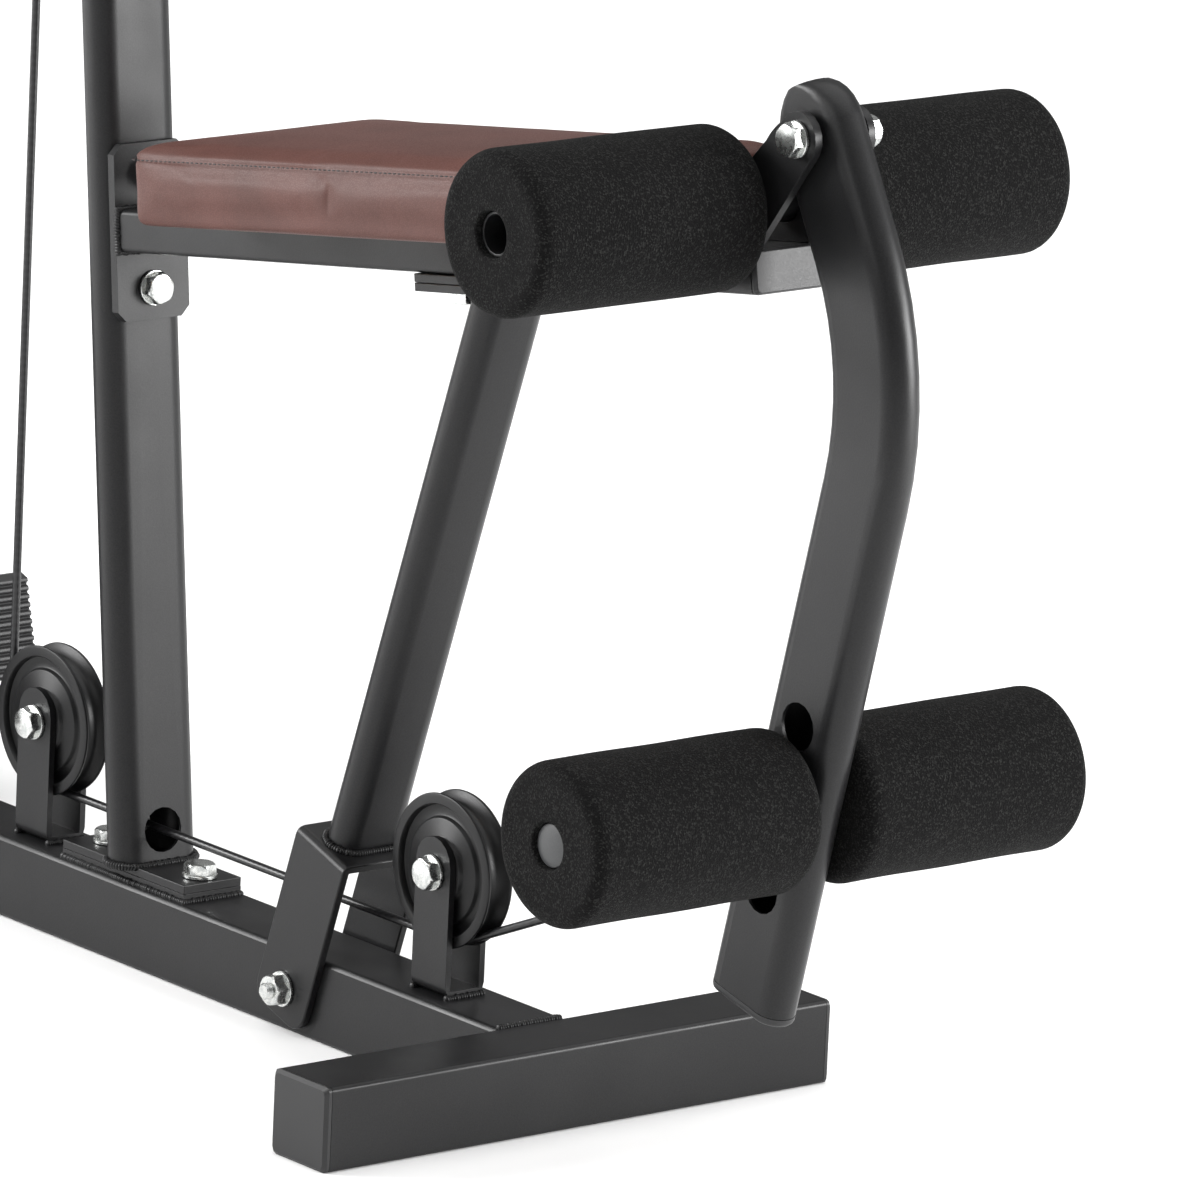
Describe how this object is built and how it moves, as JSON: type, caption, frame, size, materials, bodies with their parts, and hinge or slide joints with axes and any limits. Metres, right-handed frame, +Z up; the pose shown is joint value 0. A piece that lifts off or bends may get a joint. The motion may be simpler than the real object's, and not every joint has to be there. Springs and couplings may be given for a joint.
{
  "type": "cable gym seat station",
  "caption": "Seated home gym station: padded seat, foam-roller leg lever, low cable over pulleys, ribbed foot rests and a weight stack.",
  "frame": {"origin": "on the floor, at the middle of the machine's outline", "axes": "+Z up, +Y from the leg lever towards the weight stack, X from side to side"},
  "size_m": [0.56, 1.356, 1.18],
  "materials": {
    "powder_coat": "satin black powder coat with a fine texture",
    "upholstery": "brown vinyl with a stitched edge",
    "plywood": "raw plywood",
    "cable_jacket": "black nylon jacket",
    "zinc_plate": "bright zinc plate",
    "chrome_plate": "polished chrome",
    "cast_weight": "black enamel on cast iron",
    "foam": "closed-cell black foam",
    "pulley_nylon": "moulded dark grey nylon",
    "black_plastic": "moulded black plastic"
  },
  "bodies": {
    "frame": {"base_beam": "powder_coat", "beam_pad_plate": "powder_coat", "cable_drop": "cable_jacket", "cable_run": "cable_jacket", "cable_tail": "cable_jacket", "flange_bolt_lower": "zinc_plate", "flange_bolt_upper": "zinc_plate", "foot_bolt_front": "zinc_plate", "foot_bolt_rear": "zinc_plate", "foot_plate_left": "black_plastic", "foot_plate_right": "black_plastic", "foot_plate_tube": "powder_coat", "front_cap_left": "black_plastic", "front_cap_right": "black_plastic", "front_crossbar": "powder_coat", "front_pulley_axle": "zinc_plate", "front_pulley_bracket": "powder_coat", "guide_rods": "chrome_plate", "pivot_bolt": "zinc_plate", "pivot_cheek_left": "powder_coat", "pivot_cheek_right": "powder_coat", "post_bracket": "powder_coat", "post_bracket_bolt": "zinc_plate", "post_top_bolt": "zinc_plate", "post_top_plate": "powder_coat", "rear_cap_left": "black_plastic", "rear_cap_right": "black_plastic", "rear_column": "powder_coat", "rear_crossbar": "powder_coat", "rear_pulley_axle": "zinc_plate", "rear_pulley_bracket": "powder_coat", "resting_weights": "cast_weight", "seat_board": "plywood", "seat_cushion": "upholstery", "seat_flange": "powder_coat", "seat_frame_plug": "black_plastic", "seat_frame_tube": "powder_coat", "seat_mount_plate": "powder_coat", "stack_base_plate": "powder_coat", "support_post": "powder_coat", "top_beam": "powder_coat", "top_front_pulley_axle": "zinc_plate", "top_front_pulley_bracket": "powder_coat", "top_rear_pulley_axle": "zinc_plate", "top_rear_pulley_bracket": "powder_coat", "upper_roller_tube": "powder_coat", "upright": "powder_coat", "upright_foot_plate": "powder_coat"},
    "lever": {"lever": "powder_coat", "lower_roller_tube": "powder_coat"},
    "weights": {"lifted_weights": "cast_weight"},
    "pin": {"selector_pin": "black_plastic"},
    "front_pulley_body": {"front_pulley": "pulley_nylon"},
    "lower_roller_left_body": {"lower_roller_left": "foam"},
    "lower_roller_right_body": {"lower_roller_right": "foam"},
    "rear_pulley_body": {"rear_pulley": "pulley_nylon"},
    "top_front_pulley_body": {"top_front_pulley": "pulley_nylon"},
    "top_rear_pulley_body": {"top_rear_pulley": "pulley_nylon"},
    "upper_roller_left_body": {"upper_roller_left": "foam"},
    "upper_roller_right_body": {"upper_roller_right": "foam"}
  },
  "joints": [
    {"name": "weight_slide", "type": "slide", "parent": "frame", "child": "weights", "axis": [0, 0, 1], "range_m": [0, 0.54], "deforming": ["cable_drop"]},
    {"name": "lever_hinge", "type": "hinge", "parent": "frame", "child": "lever", "pos_m": [0, -0.59598, 0.609], "axis": [-1, 0, 0], "range_deg": [0, 75], "deforming": ["cable_tail"]},
    {"name": "selector_pin_slide", "type": "slide", "parent": "weights", "child": "pin", "axis": [0, -1, 0], "range_m": [0, 0.065]},
    {"name": "upper_roller_left_spin", "type": "hinge", "parent": "frame", "child": "upper_roller_left_body", "pos_m": [0, -0.54198, 0.5617], "axis": [1, 0, 0], "continuous": true},
    {"name": "lower_roller_left_spin", "type": "hinge", "parent": "lever", "child": "lower_roller_left_body", "pos_m": [0, -0.59802, 0.23125], "axis": [1, 0, 0], "continuous": true},
    {"name": "upper_roller_right_spin", "type": "hinge", "parent": "frame", "child": "upper_roller_right_body", "pos_m": [0, -0.54198, 0.5617], "axis": [1, 0, 0], "continuous": true},
    {"name": "lower_roller_right_spin", "type": "hinge", "parent": "lever", "child": "lower_roller_right_body", "pos_m": [0, -0.59802, 0.23125], "axis": [1, 0, 0], "continuous": true},
    {"name": "front_pulley_spin", "type": "hinge", "parent": "frame", "child": "front_pulley_body", "pos_m": [0, -0.29498, 0.1225], "axis": [-1, 0, 0], "range_deg": [0, 740]},
    {"name": "rear_pulley_spin", "type": "hinge", "parent": "frame", "child": "rear_pulley_body", "pos_m": [0, 0.09402, 0.1225], "axis": [-1, 0, 0], "range_deg": [0, 740]},
    {"name": "top_front_pulley_spin", "type": "hinge", "parent": "frame", "child": "top_front_pulley_body", "pos_m": [0, 0.17802, 1.0575], "axis": [1, 0, 0], "range_deg": [0, 740]},
    {"name": "top_rear_pulley_spin", "type": "hinge", "parent": "frame", "child": "top_rear_pulley_body", "pos_m": [0, 0.38802, 1.0575], "axis": [1, 0, 0], "range_deg": [0, 740]}
  ],
  "couplings": [
    {"joint": "lever_hinge", "follows": "weight_slide", "rad_per_m": 2.42},
    {"joint": "front_pulley_spin", "follows": "weight_slide", "rad_per_m": 23.809},
    {"joint": "rear_pulley_spin", "follows": "weight_slide", "rad_per_m": 23.809},
    {"joint": "top_front_pulley_spin", "follows": "weight_slide", "rad_per_m": 23.809},
    {"joint": "top_rear_pulley_spin", "follows": "weight_slide", "rad_per_m": 23.809}
  ]
}
